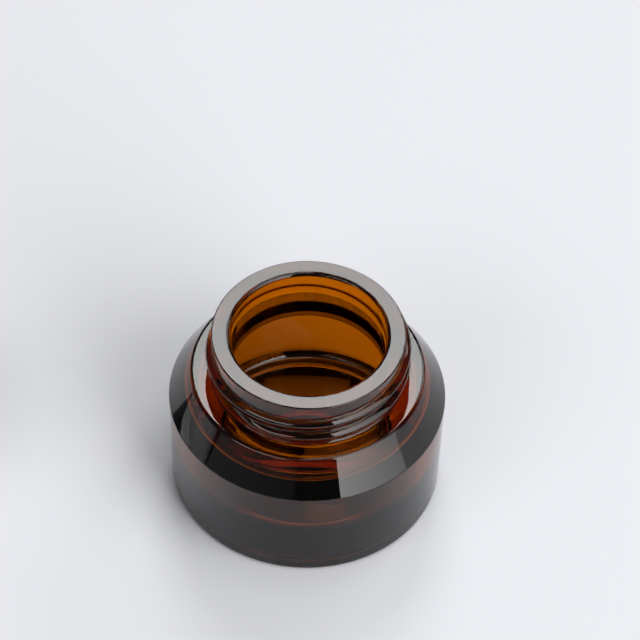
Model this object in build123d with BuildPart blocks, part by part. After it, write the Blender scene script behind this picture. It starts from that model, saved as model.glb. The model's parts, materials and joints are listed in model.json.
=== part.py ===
from build123d import *
import os

# A thick-walled glass cream jar with a screw neck, and the closure that belongs to it.
# Millimetres, +Z up. The origin is the centre of the jar's bearing ring, on the table.
# The jar stands open. Its lid lies upside down on the table beside it, with the sealing disc
# just inside its mouth. Every closure height below is the height it has once the jar is closed,
# and the two closure planes put the pieces where they lie while the jar is open.

# --- Jar, outside ------------------------------------------------------------------------
body_radius = 25.5
base_radius = 25.1
heel_radius = 1.2
wall_top = 21.2
shoulder_radius = 21.4
shoulder_top = 28.1
jar_height = 37.9
neck_radius = 17.7
wall_edge_round = 0.4
shoulder_edge_round = 0.8
neck_root_round = 0.5
rim_outer_round = 0.25
rim_inner_round = 0.75
bearing_inner_radius = 20.5
push_up = 0.9

# --- Jar, inside -------------------------------------------------------------------------
bore_radius = 14.3
bore_bottom = 26.2
cavity_radius = 20.3
cavity_top = 22.6
floor_crown = 10.4
floor_dome_radius = 75.0
floor_corner_radius = 2.4
bore_edge_round = 0.9
cavity_shoulder_round = 2.0

# --- Screw thread, right-handed ----------------------------------------------------------
pitch = 3.4
thread_height = 1.05
thread_root_half = 0.95
thread_crest_half = 0.4
thread_bury = 0.3
jar_thread_turns = 1.6
jar_thread_top = 35.2
jar_thread_end_azimuth = 70.0
fade_angle = 36.0
fade_shift = 2.1
fade_margin = 12.0
fade_reach = 40.0

# --- Closure -----------------------------------------------------------------------------
closure_clearance = 0.35
face_gap = 0.05
skirt_gap = 0.4
disc_flange_radius = 17.3
disc_flange_thickness = 0.75
plug_top_radius = 13.9
plug_bottom_radius = 13.3
plug_depth = 3.0
disc_wall = 0.8
tab_width = 9.0
tab_length = 12.0
tab_round = 3.0
liner_radius = 18.6
liner_thickness = 0.9
inner_cap_wall = 1.1
inner_cap_top = 1.2
inner_skirt_recess = 0.4
outer_cap_wall = 1.2
outer_cap_top = 1.75
cap_edge_round = 1.0
cap_lip_round = 0.3
cap_thread_turns = 1.2
cap_thread_bottom = 30.2

# --- Where the closure lies --------------------------------------------------------------
unscrew_turns = 2.5
lid_distance = 86.0

# Heights of the closed stack, from the rim up.
disc_bottom = jar_height + face_gap
disc_top = disc_bottom + disc_flange_thickness
liner_bottom = disc_top + face_gap
liner_top = liner_bottom + liner_thickness
inner_cap_under = liner_top + face_gap
inner_cap_over = inner_cap_under + inner_cap_top
outer_cap_under = inner_cap_over + face_gap
closed_height = outer_cap_under + outer_cap_top
skirt_bottom = shoulder_top + skirt_gap
inner_skirt_bottom = skirt_bottom + inner_skirt_recess
unscrew_travel = unscrew_turns * pitch

# The cavity's floor is a shallow dome, highest on the axis.
floor_drop = floor_dome_radius - (floor_dome_radius**2 - cavity_radius**2) ** 0.5
floor_edge = floor_crown - floor_drop

# Radii of the cap's thread and walls.
thread_crest_radius = neck_radius + thread_height
cap_thread_root = thread_crest_radius + closure_clearance
cap_thread_crest = neck_radius + closure_clearance
inner_cap_radius = cap_thread_root + inner_cap_wall
outer_cap_bore = inner_cap_radius + face_gap
outer_cap_radius = outer_cap_bore + outer_cap_wall

# The jar's own half-section plane: sketch x is the radius and sketch y is the height.
jar_section = Plane.XZ

# The upturned cap: its top rests on the table, so closed heights are measured downwards.
cap_section = Plane(origin=(-lid_distance, 0, closed_height), x_dir=(-1, 0, 0), z_dir=(0, -1, 0))
cap_plan = Plane(origin=(-lid_distance, 0, closed_height), x_dir=(-1, 0, 0), z_dir=(0, 0, -1))

# The sealing disc stays where it meets the rim while the cap travels down its thread to it,
# so it lies that travel further out of the upturned cap.
disc_rest = closed_height + unscrew_travel
disc_section = Plane(origin=(-lid_distance, 0, disc_rest), x_dir=(-1, 0, 0), z_dir=(0, -1, 0))
disc_plan = Plane(origin=(-lid_distance, 0, disc_rest), x_dir=(-1, 0, 0), z_dir=(0, 0, -1))


def thread_ridge(turns, root, crest):
    """A right-handed ridge that starts at azimuth 0 and height 0, with a root sunk in its wall.

    Each end is trimmed by an off-centre cylinder, so that the crest runs out into the wall.
    """
    outer_thread = crest > root
    outward = 1 if outer_thread else -1
    flank_slope = (thread_root_half - thread_crest_half) / abs(crest - root)
    buried_half = thread_root_half + thread_bury * flank_slope
    with BuildPart(mode=Mode.PRIVATE) as ridge:
        with BuildLine() as path:
            Helix(pitch=pitch, height=pitch * turns, radius=root)
        with BuildSketch(Plane(origin=path.line @ 0, x_dir=(1, 0, 0), z_dir=path.line % 0)):
            with BuildLine():
                Polyline(
                    (-outward * thread_bury, -buried_half),
                    (crest - root, -thread_crest_half),
                    (crest - root, thread_crest_half),
                    (-outward * thread_bury, buried_half),
                    close=True,
                )
            make_face()
        sweep(path=path.line, is_frenet=True)
        for end_angle, inward in ((0, 1), (turns * 360, -1)):
            joint = end_angle + inward * fade_angle
            centre = Vector(fade_shift, 0).rotate(Axis.Z, joint + outward * inward * 90)
            wedge = [
                Vector(fade_reach, 0).rotate(Axis.Z, end_angle - inward * fade_margin),
                Vector(fade_reach, 0).rotate(Axis.Z, joint + inward * fade_margin),
            ]
            with BuildSketch(Plane.XY.offset(pitch * end_angle / 360 - pitch / 2)):
                Polygon((0, 0), wedge[0], wedge[1], align=None)
                with Locations(centre):
                    Circle(crest, mode=Mode.SUBTRACT if outer_thread else Mode.INTERSECT)
            extrude(amount=pitch, mode=Mode.SUBTRACT)
    return ridge.part


# --- Glass jar ---------------------------------------------------------------------------
jar_thread_bottom = jar_thread_top - pitch * jar_thread_turns
jar_thread_azimuth = jar_thread_end_azimuth - jar_thread_turns * 360
jar_ridge = thread_ridge(jar_thread_turns, neck_radius, thread_crest_radius)

with BuildPart() as glass_jar:
    with BuildSketch(jar_section) as outside:
        with BuildLine():
            Polyline(
                (0, push_up),
                (0, jar_height),
                (neck_radius, jar_height),
                (neck_radius, shoulder_top),
                (shoulder_radius, shoulder_top),
                (body_radius, wall_top),
                (base_radius, 0),
                (bearing_inner_radius, 0),
                (bearing_inner_radius - push_up, push_up),
                close=True,
            )
        make_face()
        corners = outside.vertices()
        fillet(corners.sort_by_distance((base_radius, 0))[0], heel_radius)
        fillet(corners.sort_by_distance((bearing_inner_radius, 0))[0], push_up)
        fillet(corners.sort_by_distance((body_radius, wall_top))[0], wall_edge_round)
        fillet(corners.sort_by_distance((shoulder_radius, shoulder_top))[0], shoulder_edge_round)
        fillet(corners.sort_by_distance((neck_radius, shoulder_top))[0], neck_root_round)
        fillet(corners.sort_by_distance((neck_radius, jar_height))[0], rim_outer_round)
    revolve(axis=Axis.Z)
    with Locations((0, 0, jar_thread_bottom)):
        add(jar_ridge, rotation=(0, 0, jar_thread_azimuth))
    with BuildSketch(jar_section) as inside:
        with BuildLine():
            dome = RadiusArc((0, floor_crown), (cavity_radius, floor_edge), floor_dome_radius)
            wall = Polyline(
                dome @ 1,
                (cavity_radius, cavity_top),
                (bore_radius, bore_bottom),
                (bore_radius, jar_height - rim_inner_round),
            )
            lip = TangentArc(wall @ 1, (bore_radius + rim_inner_round, jar_height), tangent=(0, 1))
            Polyline(lip @ 1, (0, jar_height), (0, floor_crown))
        make_face()
        corners = inside.vertices()
        fillet(corners.sort_by_distance((cavity_radius, floor_edge))[0], floor_corner_radius)
        fillet(corners.sort_by_distance((cavity_radius, cavity_top))[0], cavity_shoulder_round)
        fillet(corners.sort_by_distance((bore_radius, bore_bottom))[0], bore_edge_round)
    revolve(axis=Axis.Z, mode=Mode.SUBTRACT)

# --- Sealing disc ------------------------------------------------------------------------
# A thin moulded dish: a flange that lies on the rim, a tapered plug in the bore, and a pull tab.
plug_bottom = disc_bottom - plug_depth
with BuildPart() as seal_disc:
    with BuildSketch(disc_section):
        with BuildLine():
            Polyline(
                (0, plug_bottom),
                (plug_bottom_radius, plug_bottom),
                (plug_top_radius, disc_bottom),
                (disc_flange_radius, disc_bottom),
                (disc_flange_radius, disc_top),
                (plug_top_radius - disc_wall, disc_top),
                (plug_bottom_radius - disc_wall, plug_bottom + disc_wall),
                (0, plug_bottom + disc_wall),
                close=True,
            )
        make_face()
    revolve(axis=Axis((-lid_distance, 0, 0), (0, 0, 1)))
    tab_root = plug_top_radius - disc_wall / 2
    with BuildSketch(disc_plan.offset(disc_bottom)) as tab:
        with Locations((tab_root - tab_length / 2, 0)):
            Rectangle(tab_length, tab_width)
        fillet(tab.vertices().group_by(Axis.X)[0], tab_round)
    extrude(amount=disc_flange_thickness)

# --- Liner -------------------------------------------------------------------------------
with BuildPart() as liner:
    with BuildSketch(cap_plan.offset(liner_bottom)):
        Circle(liner_radius)
    extrude(amount=liner_thickness)

# --- Inner cap ---------------------------------------------------------------------------
# The cap's thread lies half a pitch below the jar's when closed, midway between its turns.
cap_thread_rise = cap_thread_bottom - (jar_thread_bottom - pitch / 2)
cap_thread_azimuth = jar_thread_azimuth + 360 * cap_thread_rise / pitch + 360 * unscrew_turns
cap_ridge = thread_ridge(cap_thread_turns, cap_thread_root, cap_thread_crest)

with BuildPart() as inner_cap:
    with BuildSketch(cap_section):
        with BuildLine():
            Polyline(
                (0, inner_cap_under),
                (cap_thread_root, inner_cap_under),
                (cap_thread_root, inner_skirt_bottom),
                (inner_cap_radius, inner_skirt_bottom),
                (inner_cap_radius, inner_cap_over),
                (0, inner_cap_over),
                close=True,
            )
        make_face()
    revolve(axis=Axis((-lid_distance, 0, 0), (0, 0, 1)))
    with Locations(cap_plan.offset(cap_thread_bottom)):
        add(cap_ridge, rotation=(0, 0, cap_thread_azimuth))

# --- Outer cap ---------------------------------------------------------------------------
with BuildPart() as outer_cap:
    with BuildSketch(cap_section) as shell:
        with BuildLine():
            Polyline(
                (0, outer_cap_under),
                (outer_cap_bore, outer_cap_under),
                (outer_cap_bore, skirt_bottom),
                (outer_cap_radius, skirt_bottom),
                (outer_cap_radius, closed_height),
                (0, closed_height),
                close=True,
            )
        make_face()
        corners = shell.vertices()
        fillet(corners.sort_by_distance((outer_cap_radius, closed_height))[0], cap_edge_round)
        fillet(corners.sort_by_distance((outer_cap_radius, skirt_bottom))[0], cap_lip_round)
    revolve(axis=Axis((-lid_distance, 0, 0), (0, 0, 1)))

glass_jar.part.label = "glass_jar"
seal_disc.part.label = "seal_disc"
liner.part.label = "liner"
inner_cap.part.label = "inner_cap"
outer_cap.part.label = "outer_cap"

os.makedirs("parts", exist_ok=True)
export_step(glass_jar.part, "parts/glass_jar.step")
export_step(seal_disc.part, "parts/seal_disc.step")
export_step(liner.part, "parts/liner.step")
export_step(inner_cap.part, "parts/inner_cap.step")
export_step(outer_cap.part, "parts/outer_cap.step")

for piece in (glass_jar, seal_disc, liner, inner_cap, outer_cap):
    box = piece.part.bounding_box()
    print(piece.part.label, len(piece.part.solids()), piece.part.is_valid, round(piece.part.volume), box)
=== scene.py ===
import json
import math

import bmesh
import bpy
from mathutils import Euler, Matrix, Vector


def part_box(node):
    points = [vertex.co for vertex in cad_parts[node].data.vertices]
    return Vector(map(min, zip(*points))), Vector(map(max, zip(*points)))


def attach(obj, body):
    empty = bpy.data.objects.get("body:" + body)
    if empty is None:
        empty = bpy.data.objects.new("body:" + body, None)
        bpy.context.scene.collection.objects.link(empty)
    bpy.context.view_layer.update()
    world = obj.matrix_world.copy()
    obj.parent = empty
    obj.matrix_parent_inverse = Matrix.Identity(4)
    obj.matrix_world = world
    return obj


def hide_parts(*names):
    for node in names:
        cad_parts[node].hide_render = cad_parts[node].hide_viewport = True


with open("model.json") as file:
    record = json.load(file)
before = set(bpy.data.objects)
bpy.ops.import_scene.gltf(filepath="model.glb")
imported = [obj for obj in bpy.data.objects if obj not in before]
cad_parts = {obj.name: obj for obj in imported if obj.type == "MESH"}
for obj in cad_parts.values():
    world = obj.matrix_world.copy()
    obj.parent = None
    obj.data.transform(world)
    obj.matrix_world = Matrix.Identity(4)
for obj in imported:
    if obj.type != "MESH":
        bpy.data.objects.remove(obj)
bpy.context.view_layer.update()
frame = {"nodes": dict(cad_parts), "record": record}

MM = 0.001

# --- The jar's moulded outline ------------------------------------------------------------
# Radii and heights in millimetres. The body's radius and the jar's height are the CAD jar's.
jar_low, jar_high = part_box("glass_jar")
BODY_R = jar_high.x / MM
JAR_H = jar_high.z / MM
WALL_DRAFT = 0.4
BASE_R = BODY_R - WALL_DRAFT
WALL_TOP = 21.2
SHOULDER_R = 21.4
SHOULDER_TOP = 28.1
NECK_R = 17.7
BORE_R = next(m["dims"]["r_mm"] for m in frame["record"]["mounts"] if m["name"] == "mouth")
BORE_BOTTOM = 26.2
CAVITY_R = 20.3
CAVITY_TOP = 22.6
PUSH_UP = 0.9
BEARING_R = 20.5

# The rounds on its corners.
RECESS_ROUND = 0.3
HEEL_ROUND = 1.2
WALL_EDGE_ROUND = 0.4
SHOULDER_EDGE_ROUND = 0.8
NECK_ROOT_ROUND = 0.5
RIM_OUTER_ROUND = 0.25
RIM_INNER_ROUND = 0.75
BORE_EDGE_ROUND = 0.9
CAVITY_SHOULDER_ROUND = 2.0

# The cavity's floor is a shallow dome, and a round joins it to the wall.
DOME_CROWN = 10.4
DOME_R = 75.0
CORNER_R = 2.4
DOME_CENTRE_Z = DOME_CROWN - DOME_R
CORNER_Z = DOME_CENTRE_Z + math.sqrt((DOME_R + CORNER_R) ** 2 - (CAVITY_R - CORNER_R) ** 2)

# Radius, height and round of each corner, from the centre of the base round the outside,
# over the rim and down the inside to the round at the cavity's floor.
OUTLINE = [
    (0, PUSH_UP, 0),
    (BEARING_R - PUSH_UP, PUSH_UP, RECESS_ROUND),
    (BEARING_R, 0, PUSH_UP),
    (BASE_R, 0, HEEL_ROUND),
    (BODY_R, WALL_TOP, WALL_EDGE_ROUND),
    (SHOULDER_R, SHOULDER_TOP, SHOULDER_EDGE_ROUND),
    (NECK_R, SHOULDER_TOP, NECK_ROOT_ROUND),
    (NECK_R, JAR_H, RIM_OUTER_ROUND),
    (BORE_R, JAR_H, RIM_INNER_ROUND),
    (BORE_R, BORE_BOTTOM, BORE_EDGE_ROUND),
    (CAVITY_R, CAVITY_TOP, CAVITY_SHOULDER_ROUND),
    (CAVITY_R, CORNER_Z, 0),
]

# How finely the surface is cut. A guard ring lies this close to each end of a straight run,
# so that smooth shading keeps the run straight.
ARC_STEP = math.radians(7)
DOME_STEPS = 20
GUARD = 0.06
AROUND = 300
SAME = 1e-6

# --- The screw thread ---------------------------------------------------------------------
# Millimetres, and degrees round the neck from +X. The ridge fades in and out at its ends.
PITCH = 3.4
TURNS = 1.6
THREAD_TOP = 35.2
THREAD_END = 70.0
THREAD_HEIGHT = 1.05
ROOT_HALF = 1.0
FADE = 36.0
NECK_STEP = 0.06

# --- Camera -------------------------------------------------------------------------------
# The distance is in body radii from the centre of the base. Angles are in degrees, and the
# camera looks a little above that centre.
CAMERA_DISTANCE = 27.11
CAMERA_ELEVATION = 51.483
CAMERA_PITCH = 49.229
CAMERA_ROLL = 1.434
CAMERA_LENS = 205.65
CAMERA_SHIFT = 0.0172


# --- Meshes -------------------------------------------------------------------------------
def add_object(name, data):
    """An object in the scene's own collection."""
    made = bpy.data.objects.new(name, data)
    bpy.context.collection.objects.link(made)
    return made


def flat_sheet(name, width, height):
    """A flat rectangle about its own centre, which faces its own Z."""
    w, h = width / 2, height / 2
    data = bpy.data.meshes.new(name)
    data.from_pydata([(-w, -h, 0), (w, -h, 0), (w, h, 0), (-w, h, 0)], [], [(0, 1, 2, 3)])
    return add_object(name, data)


def rounded_corner(before, corner, after, radius):
    """Points of the arc that rounds a corner between two straight runs."""
    a = (before - corner).normalized()
    b = (after - corner).normalized()
    half = a.angle(b) / 2
    turn = math.pi - 2 * half
    centre = corner + (a + b).normalized() * (radius / math.sin(half))
    start = corner + a * (radius / math.tan(half))
    spoke = start - centre
    sense = 1 if spoke.cross(corner - centre) > 0 else -1
    steps = max(3, math.ceil(turn / ARC_STEP))
    arc = []
    for i in range(steps + 1):
        swing = Matrix.Rotation(sense * turn * i / steps, 2)
        arc.append(centre + swing @ spoke)
    return arc


def straight_run(start, end, step=None):
    """Points inside a straight run: one close to each end, and even ones between if asked."""
    length = (end - start).length
    if length < 3 * GUARD:
        return []
    marks = [GUARD / length]
    if step:
        count = int(length / step)
        marks += [i / count for i in range(1, count)]
    marks.append(1 - GUARD / length)
    return [start.lerp(end, m) for m in marks]


def cavity_floor_points():
    """The round at the foot of the cavity's wall, then the dome, as far as the axis."""
    centre = Vector((CAVITY_R - CORNER_R, CORNER_Z))
    dome_centre = Vector((0, DOME_CENTRE_Z))
    drop = (centre - dome_centre).normalized()
    sweep = math.pi - math.atan2(drop.y, drop.x)
    steps = math.ceil(sweep / ARC_STEP)
    spoke = Vector((CORNER_R, 0))
    points = []
    for i in range(1, steps + 1):
        points.append(centre + Matrix.Rotation(-sweep * i / steps, 2) @ spoke)
    edge = points[-1].x
    for i in range(1, DOME_STEPS + 1):
        radius = edge * (1 - i / DOME_STEPS)
        points.append(Vector((radius, DOME_CENTRE_Z + math.sqrt(DOME_R**2 - radius**2))))
    return points


def stands_on_neck(point):
    """Whether an outline point lies on the neck's straight wall, where the thread is."""
    return abs(point.x - NECK_R) < SAME


def outline_points():
    """The whole outline as points, close together on the neck where the thread stands."""
    corners = [Vector((r, z)) for r, z, _ in OUTLINE]
    runs = [[corners[0]]]
    for i in range(1, len(corners) - 1):
        runs.append(rounded_corner(corners[i - 1], corners[i], corners[i + 1], OUTLINE[i][2]))
    runs.append([corners[-1]])
    points = []
    for i, run in enumerate(runs):
        if i:
            on_neck = stands_on_neck(points[-1]) and stands_on_neck(run[0])
            points += straight_run(points[-1], run[0], NECK_STEP if on_neck else None)
        points += run
    return points + cavity_floor_points()


def smooth(t):
    """An even rise from 0 to 1, level at both ends."""
    t = min(max(t, 0.0), 1.0)
    return t * t * (3 - 2 * t)


def thread_at(azimuth, height):
    """How far the rounded ridge stands out of the neck at an azimuth in degrees and a height."""
    stand = 0.0
    start = THREAD_END - 360 * TURNS
    along = azimuth - 360 * math.ceil((azimuth - start) / 360 - 1)
    while along < THREAD_END:
        crest = THREAD_TOP - PITCH * (THREAD_END - along) / 360
        bead = 1 - ((height - crest) / ROOT_HALF) ** 2
        fade = min(along - start, THREAD_END - along) / FADE
        stand = max(stand, THREAD_HEIGHT * bead * smooth(fade))
        along += 360
    return stand


def build_jar():
    """The jar as one closed surface of revolution, with its thread raised on the neck."""
    points = outline_points()
    mesh = bmesh.new()
    rings = []
    for p in points:
        if p.x < SAME:
            rings.append([mesh.verts.new((0, 0, p.y * MM))])
            continue
        on_neck = stands_on_neck(p)
        ring = []
        for i in range(AROUND):
            azimuth = 360 * i / AROUND
            radius = p.x + (thread_at(azimuth, p.y) if on_neck else 0.0)
            turn = math.radians(azimuth)
            x, y = radius * math.cos(turn), radius * math.sin(turn)
            ring.append(mesh.verts.new((x * MM, y * MM, p.y * MM)))
        rings.append(ring)
    for low, high in zip(rings, rings[1:]):
        for i in range(AROUND):
            j = (i + 1) % AROUND
            corners = [low[i % len(low)], low[j % len(low)], high[j % len(high)], high[i % len(high)]]
            face = mesh.faces.new(list(dict.fromkeys(corners)))
            face.smooth = True
    mesh.normal_update()
    data = bpy.data.meshes.new("amber_jar")
    mesh.to_mesh(data)
    mesh.free()
    return add_object("amber_jar", data)


# --- Materials ----------------------------------------------------------------------------
def new_material(name):
    """A node material without nodes, and its node tree."""
    material = bpy.data.materials.new(name)
    material.use_nodes = True
    tree = material.node_tree
    tree.nodes.clear()
    return material, tree


def add_node(tree, kind, **inputs):
    """A new node, with values for the inputs named (an underscore stands for a space)."""
    node = tree.nodes.new(kind)
    for key, value in inputs.items():
        node.inputs[key.replace("_", " ")].default_value = value
    return node


def amber_glass():
    """Thick amber glass: a polished surface, amber as light passes it, and darker with depth."""
    material, tree = new_material("amber_glass")
    link = tree.links.new
    surface = add_node(tree, "ShaderNodeBsdfPrincipled", IOR=1.52)
    surface.inputs["Base Color"].default_value = (1, 0.255, 0.006, 1)
    surface.inputs["Transmission Weight"].default_value = 1
    coords = tree.nodes.new("ShaderNodeTexCoord")
    haze = add_node(tree, "ShaderNodeTexNoise", Scale=900, Detail=3)
    haze_range = add_node(tree, "ShaderNodeMapRange", To_Min=0.0, To_Max=0.02)
    ripple = add_node(tree, "ShaderNodeTexNoise", Scale=140, Detail=1)
    bump = add_node(tree, "ShaderNodeBump", Strength=0.015, Distance=0.0002)
    link(coords.outputs["Object"], haze.inputs["Vector"])
    link(haze.outputs["Fac"], haze_range.inputs["Value"])
    link(haze_range.outputs["Result"], surface.inputs["Roughness"])
    link(coords.outputs["Object"], ripple.inputs["Vector"])
    link(ripple.outputs["Fac"], bump.inputs["Height"])
    link(bump.outputs["Normal"], surface.inputs["Normal"])
    depth = tree.nodes.new("ShaderNodeVolumeAbsorption")
    depth.inputs["Color"].default_value = (0.65, 0.6, 0.0, 1)
    depth.inputs["Density"].default_value = 400
    output = tree.nodes.new("ShaderNodeOutputMaterial")
    link(surface.outputs["BSDF"], output.inputs["Surface"])
    link(depth.outputs["Volume"], output.inputs["Volume"])
    return material


def moulded_plastic(name, colour, roughness, grain, grain_depth, subsurface=0.0, coat=0.0):
    """Moulded plastic: faint colour drift, a fine moulded grain and uneven gloss."""
    material, tree = new_material(name)
    link = tree.links.new
    surface = add_node(tree, "ShaderNodeBsdfPrincipled", IOR=1.5)
    surface.inputs["Coat Weight"].default_value = coat
    surface.inputs["Coat Roughness"].default_value = 0.04
    surface.inputs["Subsurface Weight"].default_value = subsurface
    surface.inputs["Subsurface Radius"].default_value = (0.002, 0.002, 0.0018)
    coords = tree.nodes.new("ShaderNodeTexCoord")
    drift = add_node(tree, "ShaderNodeTexNoise", Scale=60, Detail=2)
    ramp = tree.nodes.new("ShaderNodeValToRGB")
    ramp.color_ramp.elements[0].color = (*[c * 0.93 for c in colour], 1)
    ramp.color_ramp.elements[1].color = (*colour, 1)
    fine = add_node(tree, "ShaderNodeTexNoise", Scale=grain, Detail=4)
    gloss = add_node(tree, "ShaderNodeMapRange", To_Min=roughness * 0.8, To_Max=roughness * 1.25)
    bump = add_node(tree, "ShaderNodeBump", Strength=0.5, Distance=grain_depth)
    for texture in (drift, fine):
        link(coords.outputs["Object"], texture.inputs["Vector"])
    link(drift.outputs["Fac"], ramp.inputs["Fac"])
    link(ramp.outputs["Color"], surface.inputs["Base Color"])
    link(fine.outputs["Fac"], gloss.inputs["Value"])
    link(gloss.outputs["Result"], surface.inputs["Roughness"])
    link(fine.outputs["Fac"], bump.inputs["Height"])
    link(bump.outputs["Normal"], surface.inputs["Normal"])
    output = tree.nodes.new("ShaderNodeOutputMaterial")
    link(surface.outputs["BSDF"], output.inputs["Surface"])
    return material


def foam():
    """Closed-cell foam: fine cells as bump, with a slight colour drift between them."""
    material, tree = new_material("foam")
    link = tree.links.new
    surface = add_node(tree, "ShaderNodeBsdfPrincipled", Roughness=0.75)
    coords = tree.nodes.new("ShaderNodeTexCoord")
    cells = add_node(tree, "ShaderNodeTexVoronoi", Scale=2600)
    ramp = tree.nodes.new("ShaderNodeValToRGB")
    ramp.color_ramp.elements[0].color = (0.88, 0.88, 0.86, 1)
    ramp.color_ramp.elements[1].color = (0.74, 0.74, 0.71, 1)
    bump = add_node(tree, "ShaderNodeBump", Strength=0.6, Distance=0.00008)
    bump.invert = True
    link(coords.outputs["Object"], cells.inputs["Vector"])
    link(cells.outputs["Distance"], ramp.inputs["Fac"])
    link(ramp.outputs["Color"], surface.inputs["Base Color"])
    link(cells.outputs["Distance"], bump.inputs["Height"])
    link(bump.outputs["Normal"], surface.inputs["Normal"])
    output = tree.nodes.new("ShaderNodeOutputMaterial")
    link(surface.outputs["BSDF"], output.inputs["Surface"])
    return material


def dress(node, material):
    """Gives a CAD node its material."""
    slots = frame["nodes"][node].material_slots
    for slot in slots:
        slot.link = "OBJECT"
        slot.material = material


# --- Studio -------------------------------------------------------------------------------
# In metres. The floor lies just under the jar's bearing ring, so that the two don't touch.
FLOOR_SIZE = 4.0
FLOOR_DROP = 0.00002
ROOM_LIGHT = 0.06


def floor():
    """A wide matt sheet of pale grey-lilac paper."""
    sheet = flat_sheet("floor", FLOOR_SIZE, FLOOR_SIZE)
    sheet.location.z = -FLOOR_DROP
    material, tree = new_material("paper")
    link = tree.links.new
    surface = add_node(tree, "ShaderNodeBsdfPrincipled", Roughness=0.9)
    surface.inputs["Specular IOR Level"].default_value = 0.1
    coords = tree.nodes.new("ShaderNodeTexCoord")
    tooth = add_node(tree, "ShaderNodeTexNoise", Scale=1500, Detail=2)
    ramp = tree.nodes.new("ShaderNodeValToRGB")
    ramp.color_ramp.elements[0].color = (0.870, 0.878, 0.920, 1)
    ramp.color_ramp.elements[1].color = (0.880, 0.888, 0.930, 1)
    link(coords.outputs["Object"], tooth.inputs["Vector"])
    link(tooth.outputs["Fac"], ramp.inputs["Fac"])
    link(ramp.outputs["Color"], surface.inputs["Base Color"])
    output = tree.nodes.new("ShaderNodeOutputMaterial")
    link(surface.outputs["BSDF"], output.inputs["Surface"])
    sheet.data.materials.append(material)


def toward(azimuth, elevation):
    """A direction: azimuth in degrees from +Y towards +X, elevation above the floor."""
    a, e = math.radians(azimuth), math.radians(elevation)
    return Vector((math.sin(a) * math.cos(e), math.cos(a) * math.cos(e), math.sin(e)))


def softbox(name, place, size, radiance, left_share=1.0, foot_share=1.0, upright=False):
    """A glowing panel round the object, hidden from the camera only.

    Its place is an azimuth, an elevation and a distance. It is square to that direction, or
    stands upright. Its light may fall off to a share of the radiance at its left edge, as seen
    from the object, and at its foot.
    """
    azimuth, elevation, distance = place
    panel = flat_sheet(name, *size)
    direction = toward(azimuth, elevation)
    facing = toward(azimuth, 0) if upright else direction
    panel.location = direction * distance
    panel.rotation_euler = facing.to_track_quat("Z", "Y").to_euler()
    panel.visible_camera = False
    material, tree = new_material(name)
    link = tree.links.new
    coords = tree.nodes.new("ShaderNodeTexCoord")
    parts = tree.nodes.new("ShaderNodeSeparateXYZ")
    across = add_node(tree, "ShaderNodeMapRange", To_Min=radiance, To_Max=radiance * left_share)
    upward = add_node(tree, "ShaderNodeMapRange", To_Min=foot_share, To_Max=1.0)
    strength = tree.nodes.new("ShaderNodeMath")
    strength.operation = "MULTIPLY"
    glow = tree.nodes.new("ShaderNodeEmission")
    link(coords.outputs["Generated"], parts.inputs["Vector"])
    link(parts.outputs["X"], across.inputs["Value"])
    link(parts.outputs["Y"], upward.inputs["Value"])
    link(across.outputs["Result"], strength.inputs[0])
    link(upward.outputs["Result"], strength.inputs[1])
    link(strength.outputs["Value"], glow.inputs["Strength"])
    output = tree.nodes.new("ShaderNodeOutputMaterial")
    link(glow.outputs["Emission"], output.inputs["Surface"])
    panel.data.materials.append(material)


def studio():
    """A tall window at the front right, a box behind and above, and weak light elsewhere."""
    floor()
    softbox("back_box", (0, 43, 1.5), (0.53, 0.75), 9.0, foot_share=0.1)
    softbox("back_right_box", (42, 34, 1.5), (0.6, 0.5), 3.0)
    softbox("window", (126.5, 38.7, 1.92), (1.66, 2.4), 5.4,
            left_share=0.35, foot_share=0.85, upright=True)
    softbox("ceiling_box", (95, 76, 1.5), (1.0, 0.8), 1.75)
    softbox("front_fill", (222, 38, 1.5), (1.1, 0.5), 2.5)
    softbox("left_wall", (-140, 6, 1.5), (1.9, 0.5), 0.26, left_share=0.5)
    world = bpy.data.worlds.new("room")
    world.use_nodes = True
    room = world.node_tree.nodes["Background"]
    room.inputs["Color"].default_value = (ROOM_LIGHT, ROOM_LIGHT, ROOM_LIGHT, 1)
    bpy.context.scene.world = world


def camera():
    """A long lens in front of the jar and above it, which looks down at it."""
    body = BODY_R * MM
    elevation = math.radians(CAMERA_ELEVATION)
    data = bpy.data.cameras.new("camera")
    data.lens = CAMERA_LENS
    data.sensor_width = 36
    data.shift_x = CAMERA_SHIFT
    cam = add_object("camera", data)
    reach = CAMERA_DISTANCE * body
    cam.location = (0, -reach * math.cos(elevation), reach * math.sin(elevation))
    tilt = Euler((math.radians(90 - CAMERA_PITCH), 0, 0)).to_quaternion()
    roll = Euler((0, 0, math.radians(CAMERA_ROLL))).to_quaternion()
    cam.rotation_mode = "QUATERNION"
    cam.rotation_quaternion = tilt @ roll
    data.clip_start = 0.01
    bpy.context.scene.camera = cam


def rendering():
    """Plain colour without a film look, and enough bounces for light to leave thick glass."""
    scene = bpy.context.scene
    scene.view_settings.view_transform = "Standard"
    scene.cycles.max_bounces = 24
    scene.cycles.transmission_bounces = 20
    scene.cycles.glossy_bounces = 8
    scene.cycles.diffuse_bounces = 4
    scene.cycles.sample_clamp_indirect = 8
    scene.cycles.blur_glossy = 0.2
    scene.cycles.caustics_refractive = False
    scene.cycles.caustics_reflective = False
    scene.cycles.use_denoising = True


# --- The object ---------------------------------------------------------------------------
jar = build_jar()
jar.data.materials.append(amber_glass())
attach(jar, "jar")
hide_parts("glass_jar")

black = moulded_plastic("black_cap", (0.012, 0.012, 0.013), 0.12, 1400, 0.000012, coat=0.6)
white = moulded_plastic("white_insert", (0.80, 0.80, 0.78), 0.38, 2500, 0.00003, subsurface=0.15)
milky = moulded_plastic("sealing_disc", (0.84, 0.85, 0.86), 0.3, 1800, 0.00003, subsurface=0.35)
dress("outer_cap", black)
dress("inner_cap", white)
dress("seal_disc", milky)
dress("liner", foam())

studio()
camera()
rendering()
